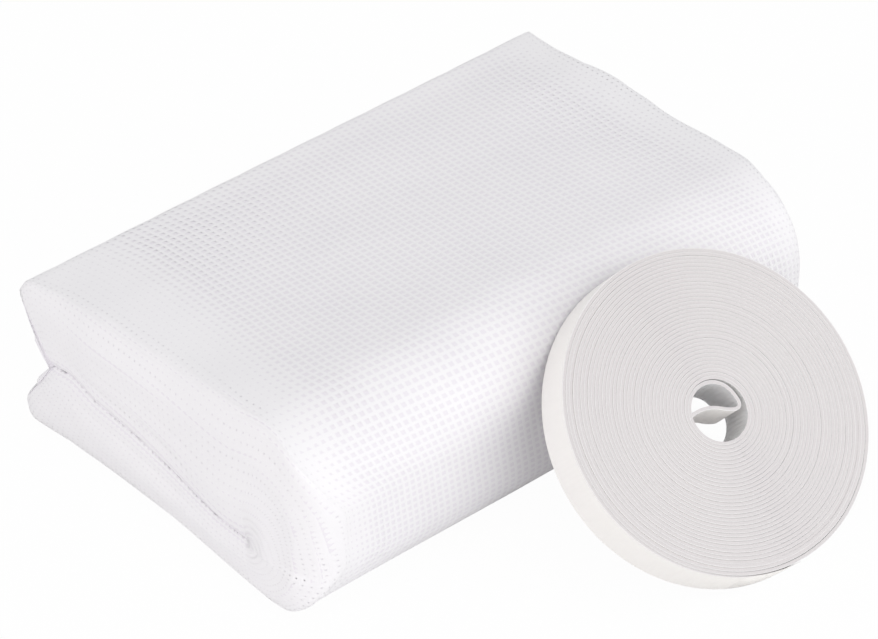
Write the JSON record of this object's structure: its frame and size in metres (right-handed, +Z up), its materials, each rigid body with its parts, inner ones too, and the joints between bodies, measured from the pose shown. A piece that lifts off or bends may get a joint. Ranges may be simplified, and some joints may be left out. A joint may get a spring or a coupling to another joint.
{
  "type": "window insect screen",
  "caption": "White insect net for a window, folded to a thick pad, with its roll of self-adhesive hook tape leaning on the spine of the fold.",
  "frame": {"origin": "middle of the whole thing seen from above, on the surface that it lies on", "axes": "+Z up; +X along the folded net, to the right as seen from the roll; +Y from the roll to the noses of the folds at the back"},
  "size_m": [0.174, 0.1794, 0.0628],
  "materials": {
    "polyester_net": "fine open weave of white polyester thread",
    "hook_tape": "woven nylon hook tape, with an off-white ribbed release liner outside"
  },
  "bodies": {
    "root": {"folded_net": "polyester_net", "hook_tape_roll": "hook_tape"}
  },
  "joints": []
}
